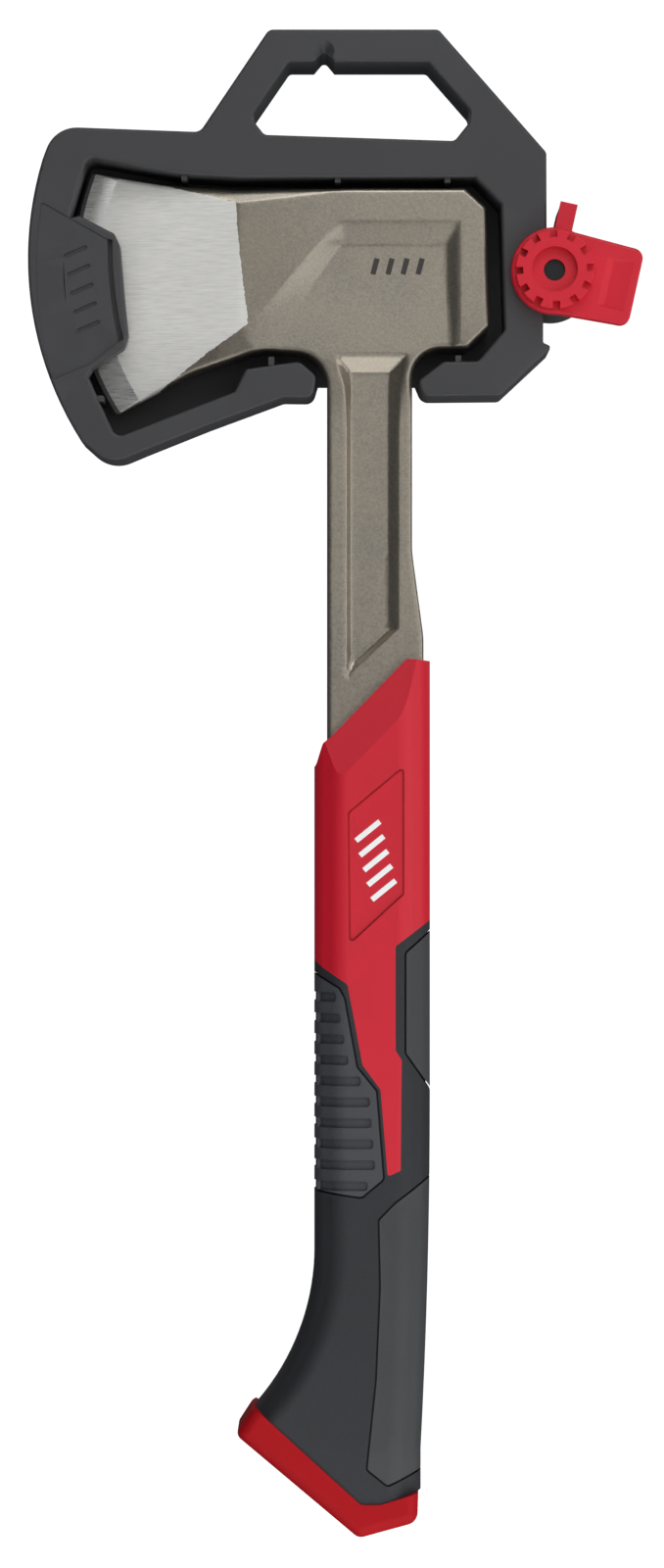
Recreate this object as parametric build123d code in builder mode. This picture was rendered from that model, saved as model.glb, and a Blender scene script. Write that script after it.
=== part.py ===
from build123d import *
import os

# A forged hatchet in its hard sheath. Millimetres, +X towards the poll, +Z up, front faces -Y.
# The origin is the top of the hang notch, on the hatchet's own middle plane.

# --- driving dimensions ---------------------------------------------------------------
SHEATH_FRONT = -12.0
TRAY_FLOOR = 10.3
SHEATH_BACK = 12.5
SHEATH_WALL = 2.4
RIM_ROUND = 0.8

LEVER_X, LEVER_Z = 63.9, -60.9
LEVER_REST_DEG = -12.5
LEVER_GAP = 0.3
LEVER_R = 12.0
BOSS_R = 12.0
PIN_R = 3.0
PIN_CLEARANCE = 0.05
PIN_HEAD_R = 5.6
PIN_HEAD_T = 2.4

POLL_HALF = 10.0
EDGE_X, EDGE_Z, EDGE_R = 4.95, -58.93, 75.24
NECK_LEFT, NECK_RIGHT = 0.8, 24.6
NECK_FLARE_RIGHT = 27.8

GRIP_LEFT, GRIP_RIGHT = -2.75, 29.6
GRIP_HALF = 13.0
CORNER_RUN, CORNER_DROP = 6.8, 5.4
SKIN = 3.4
PAD = 1.2
PAD_GROOVE = 0.55
DAMPER = 1.5

SCREW_SHANK_R = 1.4
SCREW_HEAD_R = 2.8
SCREW_SPOTS = (
    (-71.5, -27.5),
    (-65.2, -102.8),
    (-13.5, -91.0),
    (40.0, -90.3),
    (55.8, -36.0),
    (-24.5, -28.2),
)


def facing_front(y):
    """A sketch plane at depth y seen from the front: local x is X and local y is Z."""
    return Plane.XZ.offset(-y)


def profile(corners):
    """A flat outline through (x, z, radius) corners. Two more values are a point that the arc
    to the next corner passes through."""
    with BuildSketch() as flat:
        with BuildLine():
            for here, there in zip(corners, corners[1:] + corners[:1]):
                if len(here) == 5:
                    ThreePointArc(here[:2], here[3:], there[:2])
                else:
                    Line(here[:2], there[:2])
        make_face()
        for corner in corners:
            if corner[2]:
                fillet(flat.vertices().sort_by_distance(corner[:2])[0], corner[2])
    return flat.sketch


def slab(shape, back, front):
    """The outline as a plate from depth back to depth front."""
    with BuildPart() as plate:
        with BuildSketch(facing_front(back)):
            add(shape)
        extrude(amount=back - front)
    return plate.part


def drum(x, z, radius, back, front):
    """A round bar along Y from depth back to depth front."""
    with BuildPart() as bar:
        with BuildSketch(facing_front(back)):
            with Locations((x, z)):
                Circle(radius)
        extrude(amount=back - front)
    return bar.part


def write(piece, name):
    piece.part.label = name
    export_step(piece.part, f"parts/{name}.step")


os.makedirs("parts", exist_ok=True)

# --- sheath outlines ------------------------------------------------------------------
# The frame is one C-shaped band: outside, right jaw, tray wall, left jaw.
LEFT_SIDE_TOP = (-78.4, -29.5)
LEFT_SIDE_BOTTOM = (-67.6, -108.0)
HANDLE_BAND = [
    (-34.6, -21.9, 3),
    (-15.4, 6.6, 2.5),
    (31.9, 6.6, 2),
    (61.9, -27.6, 2),
    (62.0, -61.0, 0),
]
RIGHT_RELIEF = [
    (61.0, -61.2, 0),
    (61.0, -80.5, 0.6),
    (62.9, -81.4, 0.5),
    (62.8, -82.6, 0.6),
    (49.2, -95.3, 2),
]
LEFT_UNDERSIDE = [
    (-11.4, -95.8, 3),
    (-32.5, -103.6, 0),
    (-50.0, -110.6, 0),
    (-60.0, -114.8, 9),
]
LEFT_SIDE = [
    (*LEFT_SIDE_BOTTOM, 0, -82.42, -60.0),
    (*LEFT_SIDE_TOP, 0),
    (-75.0, -20.4, 9),
]
TRAY_WALL = [
    (33.3, -85.8, 3),
    (42.9, -85.7, 1.5),
    (50.3, -77.1, 1.5),
    (49.3, -42.0, 1),
    (41.9, -34.5, 1),
    (-24.8, -34.6, 12),
    (-39.8, -33.6, 12),
    (-65.9, -28.8, 2.5),
    (-70.4, -43.5, 0, -72.4, -63.0),
    (-66.4, -88.5, 0),
    (-62.4, -97.6, 0),
    (-57.9, -107.0, 2.5),
    (-24.9, -94.2, 1),
    (-21.8, -87.9, 1.5),
    (-6.9, -85.8, 3),
    (-2.2, -89.8, 2.5),
]
frame_band = profile(
    HANDLE_BAND
    + RIGHT_RELIEF
    + [(27.4, -95.5, 3), (26.2, -91.2, 1.5)]
    + TRAY_WALL
    + [(-3.2, -95.9, 2.8)]
    + LEFT_UNDERSIDE
    + LEFT_SIDE
)
plate_outline = profile(
    HANDLE_BAND
    + RIGHT_RELIEF
    + [(27.4, -95.5, 3), (25.6, -91.2, 0), (-1.8, -91.2, 0), (-3.2, -95.9, 2.8)]
    + LEFT_UNDERSIDE
    + LEFT_SIDE
)
NOTCH_HALF = 2.95
DIMPLE_R, DIMPLE_DEPTH = 2.9, 2.2
hang_notch = profile([(-NOTCH_HALF, -2.6, 0), (0, 0.9, 1.2), (NOTCH_HALF, -2.6, 0)])
carry_opening = profile(
    [
        (-9.8, -2.5, 1.5),
        (28.8, -2.5, 1.5),
        (40.6, -16.0, 2),
        (40.2, -19.5, 2),
        (36.3, -24.4, 2),
        (-16.6, -22.7, 2),
        (-20.4, -17.9, 2.5),
    ]
)
TAB_EDGE = [
    (-68.1, -45.2, 1),
    (-58.4, -50.2, 1.5),
    (-56.9, -53.4, 1),
    (-55.5, -69.9, 0),
    (-54.6, -78.2, 1),
    (-55.6, -81.8, 1.2),
    (-64.6, -87.8, 1),
]
tab_outline = profile([(-73.2, -46.5, 0), *TAB_EDGE, (-66.2, -91.0, 0), (-71.0, -88.0, 0)])
groove_outline = profile(
    [
        (-58.9, -51.9, 0, -58.3, -64.8),
        (-55.8, -79.6, 0),
        (-57.2, -80.5, 0, -59.7, -64.8),
        (-60.3, -51.7, 0),
    ]
)
plaque_outline = profile(
    [
        (-78.6, -41.3, 0.6),
        (-60.3, -51.7, 0, -59.7, -64.8),
        (-57.2, -80.5, 0),
        (-65.0, -86.6, 0),
        (-75.6, -91.0, 0.8, -80.0, -66.0),
    ]
)

# --- sheath front: hollow moulding with the tray wall, tab, carry bar and lever boss ----
TAB_BACK = -4.0
GROOVE_DEPTH = 2.0
PLAQUE_DEPTH = 0.4
BAR_LONG, BAR_WIDE, BAR_DEPTH, BAR_PITCH, BAR_TILT = 7.0, 1.2, 0.5, 5.2, 24
CORE_FRONT = SHEATH_FRONT + 2.6
SCREW_PILOT_FRONT = -1.5
with BuildSketch() as opening_wall:
    add(carry_opening)
    offset(amount=SHEATH_WALL, mode=Mode.REPLACE)
with BuildSketch() as core_outline:
    add(frame_band)
    offset(amount=-SHEATH_WALL, kind=Kind.ARC, mode=Mode.REPLACE)
    add(opening_wall.sketch, mode=Mode.SUBTRACT)
    with Locations((LEVER_X, LEVER_Z)):
        Circle(BOSS_R, mode=Mode.SUBTRACT)
    for spot in SCREW_SPOTS:
        with Locations(spot):
            Circle(3.4, mode=Mode.SUBTRACT)
    # The bar stays solid over the hang notch, and stiffening ribs cross the hollow.
    with Locations((0, 2)):
        Rectangle(4 * NOTCH_HALF, 14, mode=Mode.SUBTRACT)
    with Locations((-45, -103), (-46, -28), (0, -28.8), (24, -29.2), (18, 2.0)):
        Rectangle(1.4, 14, mode=Mode.SUBTRACT)
    with Locations((-77.5, -48), (-76.5, -78), (56, -50), (-24, -12), (45.5, -16)):
        Rectangle(16, 1.4, mode=Mode.SUBTRACT)

with BuildPart() as sheath_front_frame:
    with BuildSketch(facing_front(TRAY_FLOOR)):
        add(frame_band)
        add(carry_opening, mode=Mode.SUBTRACT)
        add(hang_notch, mode=Mode.SUBTRACT)
    extrude(amount=TRAY_FLOOR - SHEATH_FRONT)
    add(slab(tab_outline, TAB_BACK, SHEATH_FRONT))
    fillet(sheath_front_frame.edges().group_by(Axis.Y)[0], RIM_ROUND)
    # The hang notch opens into a small cone at the front.
    with Locations(Location((0, SHEATH_FRONT, 0.6), (90, 0, 0))):
        Cone(
            bottom_radius=0.4,
            top_radius=DIMPLE_R,
            height=DIMPLE_DEPTH,
            align=(Align.CENTER, Align.CENTER, Align.MAX),
            mode=Mode.SUBTRACT,
        )
    with BuildSketch(facing_front(SHEATH_FRONT + PLAQUE_DEPTH)):
        add(plaque_outline)
    extrude(amount=PLAQUE_DEPTH + 1, mode=Mode.SUBTRACT)
    with BuildSketch(facing_front(SHEATH_FRONT + GROOVE_DEPTH)):
        add(groove_outline)
    extrude(amount=GROOVE_DEPTH + 1, mode=Mode.SUBTRACT)
    # Plain slanted bars, moulded into the tab.
    with BuildSketch(facing_front(SHEATH_FRONT + PLAQUE_DEPTH + BAR_DEPTH)):
        for index in range(5):
            with Locations(Location((-69.2 + 0.9 * index, -55.2 - BAR_PITCH * index), BAR_TILT)):
                SlotOverall(BAR_LONG, BAR_WIDE)
    extrude(amount=BAR_DEPTH + 1, mode=Mode.SUBTRACT)
    add(drum(LEVER_X, LEVER_Z, BOSS_R, SHEATH_BACK, SHEATH_FRONT))
    with BuildSketch(facing_front(TRAY_FLOOR)):
        add(core_outline.sketch)
    extrude(amount=TRAY_FLOOR - CORE_FRONT, mode=Mode.SUBTRACT)
    for x, z in SCREW_SPOTS:
        pilot = drum(x, z, SCREW_SHANK_R + 0.02, TRAY_FLOOR, SCREW_PILOT_FRONT)
        add(pilot, mode=Mode.SUBTRACT)
    # Ribs that locate the head: (x, z) at the wall, and the width along X and Z.
    for x, z, wide, tall in (
        (-39.0, -33.95, 1.6, 1.9),
        (3.8, -35.0, 1.6, 1.6),
        (34.4, -35.0, 1.6, 1.6),
        (-14.7, -85.6, 1.6, 2.4),
        (37.4, -85.2, 1.6, 2.4),
        (-70.3, -38.6, 2.4, 1.6),
        (-62.6, -96.0, 2.2, 1.6),
    ):
        with BuildSketch(facing_front(TRAY_FLOOR)):
            with Locations((x, z)):
                Rectangle(wide, tall)
        extrude(amount=TRAY_FLOOR - SHEATH_FRONT - 1.6)
    bore = drum(LEVER_X, LEVER_Z, PIN_R + PIN_CLEARANCE, SHEATH_BACK, SHEATH_FRONT)
    add(bore, mode=Mode.SUBTRACT)
    counterbore = drum(LEVER_X, LEVER_Z, PIN_HEAD_R + 0.6, SHEATH_BACK, SHEATH_BACK - 4.0)
    add(counterbore, mode=Mode.SUBTRACT)
write(sheath_front_frame, "sheath_front_frame")

# --- sheath back: flat plate that closes the moulding and makes the tray's floor --------
with BuildPart() as sheath_back_plate:
    with BuildSketch(facing_front(SHEATH_BACK)):
        add(plate_outline)
        add(carry_opening, mode=Mode.SUBTRACT)
        add(hang_notch, mode=Mode.SUBTRACT)
        with Locations((LEVER_X, LEVER_Z)):
            Circle(BOSS_R + 0.15, mode=Mode.SUBTRACT)
    extrude(amount=SHEATH_BACK - TRAY_FLOOR)
    fillet(sheath_back_plate.edges().group_by(Axis.Y)[-1], 0.6)
    for x, z in SCREW_SPOTS:
        add(drum(x, z, SCREW_SHANK_R + 0.2, SHEATH_BACK, TRAY_FLOOR), mode=Mode.SUBTRACT)
        seat = drum(x, z, SCREW_HEAD_R + 0.2, SHEATH_BACK, SHEATH_BACK - 1.3)
        add(seat, mode=Mode.SUBTRACT)
write(sheath_back_plate, "sheath_back_plate")

HEX_RECESS = 1.0
with BuildPart() as back_screws:
    for x, z in SCREW_SPOTS:
        add(drum(x, z, SCREW_SHANK_R, SHEATH_BACK - 1.3, SCREW_PILOT_FRONT + 0.8))
        add(drum(x, z, SCREW_HEAD_R, SHEATH_BACK - 0.1, SHEATH_BACK - 1.3))
        with BuildSketch(facing_front(SHEATH_BACK)):
            with Locations((x, z)):
                RegularPolygon(HEX_RECESS, 6)
        extrude(amount=0.9, mode=Mode.SUBTRACT)
write(back_screws, "back_screws")

# --- lock lever, its pivot screw and washer ---------------------------------------------
LEVER_BACK = SHEATH_FRONT - LEVER_GAP
LEVER_FRONT = LEVER_BACK - 4.0
CROWN_FRONT = LEVER_FRONT - 3.4
CROWN_TIP_R, CROWN_ROOT_R = 11.0, 8.8
NOTCHES = 12
PADDLE_REACH = 23.3
FIN_REACH = 17.6
FIN_WIDE = 4.8
FIN_BACK = 8.0
lever_axis = Location((LEVER_X, 0, LEVER_Z))
paddle_outline = profile(
    [(0, -11.7, 0), (PADDLE_REACH, -10.7, 2.8), (PADDLE_REACH, 10.7, 2.8), (0, 11.7, 0)]
)
# Thumb recess: a wedge with sloped walls that is deepest at the hub side.
RECESS_DEPTH = 0.8
with BuildPart() as thumb_recess:
    with BuildSketch(Plane.XY.offset(7.2)):
        Polygon(
            (13.4, LEVER_FRONT - 0.1),
            (15.6, LEVER_FRONT + RECESS_DEPTH),
            (21.8, LEVER_FRONT - 0.1),
            align=None,
        )
    extrude(amount=-14.4)
    with BuildSketch(Plane.YZ.offset(13.0)):
        Polygon(
            (LEVER_FRONT - 0.1, -7.2),
            (LEVER_FRONT + RECESS_DEPTH, -6.0),
            (LEVER_FRONT + RECESS_DEPTH, 6.0),
            (LEVER_FRONT - 0.1, 7.2),
            align=None,
        )
    extrude(amount=9.5, mode=Mode.INTERSECT)
with BuildPart() as lever_shape:
    with BuildSketch(facing_front(LEVER_BACK)):
        Circle(LEVER_R)
        add(paddle_outline)
    extrude(amount=LEVER_BACK - LEVER_FRONT)
    fillet(lever_shape.edges().group_by(Axis.Y)[0], 0.8)
    with BuildSketch(facing_front(LEVER_BACK)):
        with Locations((0, (BOSS_R + FIN_REACH) / 2)):
            Rectangle(FIN_WIDE, FIN_REACH - BOSS_R + 3)
    extrude(amount=LEVER_BACK - LEVER_FRONT)
    with BuildSketch(facing_front(FIN_BACK)):
        with Locations((0, (BOSS_R + 0.5 + FIN_REACH) / 2)):
            Rectangle(FIN_WIDE, FIN_REACH - BOSS_R - 0.5)
    extrude(amount=FIN_BACK - LEVER_FRONT)
    with BuildSketch(facing_front(LEVER_FRONT)):
        Circle(CROWN_TIP_R)
    extrude(amount=LEVER_FRONT - CROWN_FRONT)
    fillet(lever_shape.edges().group_by(Axis.Y)[0], 0.4)
    with BuildSketch(facing_front(LEVER_FRONT)):
        with PolarLocations((CROWN_TIP_R + CROWN_ROOT_R) / 2 + 0.4, NOTCHES, start_angle=15):
            Rectangle(CROWN_TIP_R - CROWN_ROOT_R + 0.8, 2.0)
    extrude(amount=LEVER_FRONT - CROWN_FRONT, mode=Mode.SUBTRACT)
    add(thumb_recess.part, mode=Mode.SUBTRACT)
    add(drum(0, 0, 6.3, CROWN_FRONT + 2.5, CROWN_FRONT), mode=Mode.SUBTRACT)
    add(drum(0, 0, PIN_R, LEVER_BACK, CROWN_FRONT), mode=Mode.SUBTRACT)
with BuildPart() as lock_lever:
    with Locations(lever_axis * Location((0, 0, 0), (0, -LEVER_REST_DEG, 0))):
        add(lever_shape.part)
write(lock_lever, "lock_lever")

PIN_HEAD_BACK = SHEATH_BACK - 0.3
WASHER_T = 0.9
with BuildPart() as pivot_screw:
    add(drum(LEVER_X, LEVER_Z, PIN_R, PIN_HEAD_BACK - PIN_HEAD_T, CROWN_FRONT + 3.6))
    add(drum(LEVER_X, LEVER_Z, PIN_HEAD_R, PIN_HEAD_BACK, PIN_HEAD_BACK - PIN_HEAD_T))
    fillet(pivot_screw.edges().group_by(Axis.Y)[-1], 0.5)
    with BuildSketch(facing_front(PIN_HEAD_BACK)):
        with Locations((LEVER_X, LEVER_Z)):
            RegularPolygon(2.3, 6)
    extrude(amount=1.6, mode=Mode.SUBTRACT)
write(pivot_screw, "pivot_screw")

with BuildPart() as lever_washer:
    with BuildSketch(facing_front(PIN_HEAD_BACK - PIN_HEAD_T)):
        with Locations((LEVER_X, LEVER_Z)):
            Circle(PIN_HEAD_R)
            Circle(PIN_R + 0.1, mode=Mode.SUBTRACT)
    extrude(amount=WASHER_T)
write(lever_washer, "lever_washer")

# --- forged head, neck and tang -----------------------------------------------------------
TANG_LEFT, TANG_RIGHT, TANG_END = 6.0, 21.0, -388.0
TANG_HALF = 4.5
NECK_HALF = 6.4
forging_outline = profile(
    [
        (-65.1, -32.1, 0),
        (-46.4, -35.6, 0),
        (-24.8, -37.4, 30),
        (39.3, -37.3, 0.8),
        (45.1, -42.6, 1),
        (46.1, -75.8, 1),
        (40.1, -81.8, 1),
        (NECK_RIGHT, -81.8, 8),
        (NECK_RIGHT, -138.3, 30),
        (NECK_FLARE_RIGHT, -162.2, 30),
        (NECK_FLARE_RIGHT, -176.0, 1),
        (TANG_RIGHT, -183.0, 1),
        (TANG_RIGHT, TANG_END, 5),
        (TANG_LEFT, TANG_END, 5),
        (TANG_LEFT, -193.0, 1),
        (NECK_LEFT, -198.0, 1),
        (NECK_LEFT, -83.5, 9),
        (-17.9, -82.2, 20),
        (-36.8, -88.5, 30),
        (-58.2, -99.8, 0, -70.28, -60.0),
    ]
)
GRIND_SLOPE = 0.184
CHEEK_SLOPE = 0.04
BEVEL_SLOPE = 0.22
FINE_EDGE, FINE_HALF = 1.2, 0.52
# Each flat on a side: a point on it (x, half thickness, z) and how it thickens along +X and +Z.
FLATS = (
    (-23.8, 9.0, -61.0, GRIND_SLOPE, 0),
    (-23.8, 9.0, -61.0, CHEEK_SLOPE, 0),
    (-24.6, 8.85, -41.1, 0.085, -0.44),
    (-21.4, 9.3, -75.2, 0.09, 0.125),
)
NECK_RECESS_FLOOR = 4.3
with BuildPart() as neck_recess:
    with BuildSketch(facing_front(-NECK_RECESS_FLOOR)):
        add(
            profile(
                [
                    (7.2, -87.9, 0.6),
                    (18.4, -87.9, 0.6),
                    (18.4, -160.0, 0.6),
                    (7.8, -169.8, 0.6),
                ]
            )
        )
    with BuildSketch(facing_front(-10.4)):
        add(
            profile(
                [
                    (1.0, -80.8, 0.6),
                    (24.2, -80.8, 0.6),
                    (23.2, -162.0, 0.6),
                    (4.6, -178.0, 0.6),
                ]
            )
        )
    loft()
with BuildPart() as cheek_pocket:
    with BuildSketch(Plane.YZ.offset(-14.0)):
        Polygon((-12.0, -45.2), (-7.6, -52.9), (-POLL_HALF, -81.0), (-12.0, -81.0), align=None)
    extrude(amount=52.4)
    with BuildSketch(facing_front(-7.5)):
        add(profile([(5.4, -52.9, 1), (34.3, -52.9, 1), (37.7, -85.0, 1), (-13.0, -85.0, 1)]))
    extrude(amount=3.0, taper=-45, mode=Mode.INTERSECT)
# The lens holds the sharpened bevel and the fine edge, which follow the curved cutting edge.
LENS_HALF = 14.0
LENS_FLAT_R = EDGE_R - FINE_EDGE - (LENS_HALF - FINE_HALF) / BEVEL_SLOPE
with BuildPart() as edge_lens:
    with BuildSketch(Plane(origin=(EDGE_X, 0, EDGE_Z), x_dir=(1, 0, 0), z_dir=(0, 0, 1))):
        with BuildLine():
            Polyline(
                (0, LENS_HALF),
                (LENS_FLAT_R, LENS_HALF),
                (EDGE_R - FINE_EDGE, FINE_HALF),
                (EDGE_R, 0.08),
                (EDGE_R, -0.08),
                (EDGE_R - FINE_EDGE, -FINE_HALF),
                (LENS_FLAT_R, -LENS_HALF),
                (0, -LENS_HALF),
                close=True,
            )
        make_face()
    revolve(axis=Axis((EDGE_X, 0, EDGE_Z), (0, 1, 0)))
with BuildPart() as blade_block:
    with BuildSketch(facing_front(POLL_HALF + 2)):
        with Locations((-41.5, -66)):
            Rectangle(81, 90)
    extrude(amount=2 * POLL_HALF + 4)
with BuildPart() as blade_shape:
    add(blade_block.part)
    add(edge_lens.part, mode=Mode.INTERSECT)
    for x, half, z, slope_x, slope_z in FLATS:
        for side in (-1, 1):
            flat = Plane(origin=(x, side * half, z), z_dir=(-slope_x, side, -slope_z))
            split(bisect_by=flat, keep=Keep.BOTTOM)
with BuildPart() as forged_head_and_tang:
    with BuildSketch(facing_front(POLL_HALF)):
        add(forging_outline)
    extrude(amount=2 * POLL_HALF)
    # Side view: the neck thins below the head, and the tang is thinner still.
    with BuildSketch(Plane.YZ.offset(-80)):
        with BuildLine():
            Polyline(
                (-POLL_HALF, -30),
                (POLL_HALF, -30),
                (POLL_HALF, -79),
                (7.4, -94),
                (NECK_HALF, -135),
                (NECK_HALF, -190),
                (TANG_HALF, -197),
                (TANG_HALF, -392),
                (-TANG_HALF, -392),
                (-TANG_HALF, -197),
                (-NECK_HALF, -190),
                (-NECK_HALF, -135),
                (-7.4, -94),
                (-POLL_HALF, -79),
                close=True,
            )
        make_face()
    extrude(amount=140, mode=Mode.INTERSECT)
    add(blade_block.part - blade_shape.part, mode=Mode.SUBTRACT)
    add(neck_recess.part, mode=Mode.SUBTRACT)
    add(mirror(neck_recess.part, about=Plane.XZ), mode=Mode.SUBTRACT)
    add(cheek_pocket.part, mode=Mode.SUBTRACT)
    add(mirror(cheek_pocket.part, about=Plane.XZ), mode=Mode.SUBTRACT)
write(forged_head_and_tang, "forged_head_and_tang")

# --- handle: one outer shape, cut by the outlines of its parts as seen from the front ------
HANDLE_TOP, HANDLE_END = -160.0, -416.0
EASE_TOP, EASE = -290.0, 0.000264
EASE_STEPS = (-290.0, -304.0, -318.0, -333.3)
FLARE_TOP, FLARE_R = -333.3, 66.8
FLARE_STEPS = (-333.3, -340.0, -347.0, -354.0, -361.0, -368.0, -375.0, -382.0, -389.0)
LONG_ROUND = 7.0
CAP_PROUD = 0.5
CAP_ROUND = 3.5


def left_side(z):
    """X of the handle's blade-side face: straight, then a round flare to the butt."""
    drop = max(0.0, FLARE_TOP - z)
    return GRIP_LEFT - FLARE_R + (FLARE_R**2 - drop**2) ** 0.5


def right_side(z):
    """X of the handle's back face, which eases in a little towards the butt."""
    return GRIP_RIGHT - EASE * max(0.0, EASE_TOP - z) ** 2


def handle_section(z, inset):
    """The handle cut across at height z: a rectangle with wide bevels and rounded edges."""
    left, right, half = left_side(z) + inset, right_side(z) - inset, GRIP_HALF - inset
    run, drop = CORNER_RUN - inset * 0.6, CORNER_DROP - inset * 0.6
    round_off = LONG_ROUND - inset * 0.4
    corners = [
        (left + run, -half),
        (right - run, -half),
        (right, -half + drop),
        (right, half - drop),
        (right - run, half),
        (left + run, half),
        (left, half - drop),
        (left, -half + drop),
    ]
    with BuildSketch(Plane.XY.offset(z)) as section:
        add(profile([(*corner, round_off) for corner in corners]))
    return section.sketch


def handle_bar(inset):
    """The handle's section along its whole length, shrunk by inset."""
    with BuildPart() as bar:
        add(handle_section(HANDLE_TOP, inset))
        extrude(amount=EASE_TOP - HANDLE_TOP)
        for steps in (EASE_STEPS, FLARE_STEPS):
            for z in steps:
                add(handle_section(z, inset))
            loft()
        add(handle_section(FLARE_STEPS[-1], inset))
        extrude(amount=HANDLE_END - FLARE_STEPS[-1])
    return bar.part


def region(corners):
    """A front-view region as a slab right through the handle."""
    return slab(profile(corners), GRIP_HALF + 2, -GRIP_HALF - 2)


COLLAR_LOW = (2.3, -189.8)
COLLAR_HIGH = (23.1, -168.4)
SLOPE_HALF = 10.0
collar_and_grip = region(
    [
        (-0.4, -192.0, 1.5),
        (*COLLAR_LOW, 1.5),
        (*COLLAR_HIGH, 1.5),
        (29.9, -169.0, 1.0),
        (40.0, -171.0, 0),
        (40.0, -420.0, 0),
        (-60.0, -420.0, 0),
        (-60.0, -199.5, 0),
        (-2.75, -199.5, 3),
    ]
)
CAP_LINE = [(-24.0, -372.5, 0), (10.2, -403.6, 1.5), (15.6, -403.6, 1.5), (34.0, -398.1, 0)]
above_cap = region([(34.0, -150.0, 0), (-60.0, -150.0, 0), (-60.0, -338.0, 0), *CAP_LINE])
red_region = region(
    [
        (-8.0, -150.0, 0),
        (40.0, -150.0, 0),
        (40.0, -235.7, 0),
        (29.2, -241.5, 0),
        (19.9, -248.4, 0.8),
        (19.9, -277.4, 1),
        (21.6, -280.1, 1),
        (21.3, -310.8, 0.6),
        (17.7, -312.4, 0.6),
        (15.7, -288.3, 1.5),
        (10.7, -281.4, 1.5),
        (6.5, -259.0, 1.5),
        (-0.6, -254.3, 0),
        (-8.0, -247.0, 0),
    ]
)
RIB_PAD = [
    (-9.0, -252.9, 0),
    (-2.1, -256.6, 0),
    (4.1, -260.3, 1),
    (5.5, -263.0, 1),
    (9.0, -282.1, 1.5),
    (14.4, -288.7, 1.5),
    (16.4, -313.1, 1.5),
    (10.4, -318.1, 1.5),
    (-9.0, -315.3, 0),
]
UPPER_PAD = [(38.0, -237.2, 0), (22.9, -250.4, 1), (22.9, -278.1, 1), (38.0, -299.9, 0)]
LOWER_PAD = [
    (38.0, -306.7, 0),
    (19.9, -320.0, 1.5),
    (15.4, -324.6, 1.5),
    (15.8, -343.4, 0),
    (14.7, -368.9, 0),
    (12.1, -393.8, 1.0),
    (17.6, -398.2, 1.0),
    (38.0, -389.3, 0),
]


def pocket(corners):
    """A pad's outline with the groove around it."""
    with BuildSketch() as wider:
        add(profile(corners))
        offset(amount=PAD_GROOVE, kind=Kind.ARC, mode=Mode.REPLACE)
    return wider.sketch


outer_bar = handle_bar(0)
pad_floor_bar = handle_bar(PAD)
core_bar = handle_bar(SKIN)
SLOT_FLOOR = 0.75
SLOT_SIDE_DEPTH = 0.4
slot_floor_bar = handle_bar(SLOT_FLOOR)

# Core: shows as the collar and the tongue, and runs on inside the grip around the tang.
SOCKET_GAP = 0.1
NECK_SOCKET = [
    (NECK_LEFT - SOCKET_GAP, -150.0, 0),
    (NECK_FLARE_RIGHT + SOCKET_GAP, -150.0, 0),
    (NECK_FLARE_RIGHT + SOCKET_GAP, -176.4, 0),
    (TANG_RIGHT + DAMPER, -183.4, 0),
    (TANG_RIGHT + DAMPER, -199.0, 0),
    (NECK_LEFT - SOCKET_GAP, -199.0, 0),
]
DAMPER_TOP = -199.0
TANG_SOCKET = [
    (TANG_LEFT - DAMPER, DAMPER_TOP, 0),
    (TANG_RIGHT + DAMPER, DAMPER_TOP, 0),
    (TANG_RIGHT + DAMPER, TANG_END - DAMPER, 5),
    (TANG_LEFT - DAMPER, TANG_END - DAMPER, 5),
]
BADGE = [(22.3, -198.0, 1), (6.5, -211.2, 1), (6.9, -248.2, 1), (22.3, -234.0, 1)]
BADGE_DEPTH, BADGE_LINE, BADGE_LINE_DEPTH = 0.7, 0.5, 1.2
CORE_TOP = -215.0
neck_socket = slab(profile(NECK_SOCKET), NECK_HALF + SOCKET_GAP, -NECK_HALF - SOCKET_GAP)
tang_socket = slab(profile(TANG_SOCKET), TANG_HALF + DAMPER, -TANG_HALF - DAMPER)
with BuildSketch() as badge_rim:
    add(profile(BADGE))
    offset(amount=-BADGE_LINE, kind=Kind.ARC, mode=Mode.SUBTRACT)
badge_cut = slab(profile(BADGE), -GRIP_HALF + BADGE_DEPTH, -GRIP_HALF - 1)
badge_line = slab(badge_rim.sketch, -GRIP_HALF + BADGE_LINE_DEPTH, -GRIP_HALF - 1)
with BuildPart() as core_inside:
    add(core_bar)
    add(above_cap, mode=Mode.INTERSECT)
    with BuildSketch(Plane.XY.offset(CORE_TOP)):
        Rectangle(200, 200)
    extrude(amount=HANDLE_END - CORE_TOP, mode=Mode.INTERSECT)
with BuildPart() as handle_core:
    add(outer_bar)
    add(collar_and_grip, mode=Mode.INTERSECT)
    for side in (-1, 1):
        slope_start = (COLLAR_LOW[0], side * SLOPE_HALF, COLLAR_LOW[1])
        slope = Plane(origin=slope_start, z_dir=(-1.3, side * 6.0, 1.25))
        split(bisect_by=slope, keep=Keep.BOTTOM)
    add(red_region, mode=Mode.INTERSECT)
    for cut in (badge_cut, badge_line):
        add(cut, mode=Mode.SUBTRACT)
        add(mirror(cut, about=Plane.XZ), mode=Mode.SUBTRACT)
    add(core_inside.part)
    add(neck_socket, mode=Mode.SUBTRACT)
    add(tang_socket, mode=Mode.SUBTRACT)
write(handle_core, "handle_core")

with BuildPart() as tang_damper:
    add(tang_socket)
    add(forged_head_and_tang.part, mode=Mode.SUBTRACT)
write(tang_damper, "tang_damper")

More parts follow.
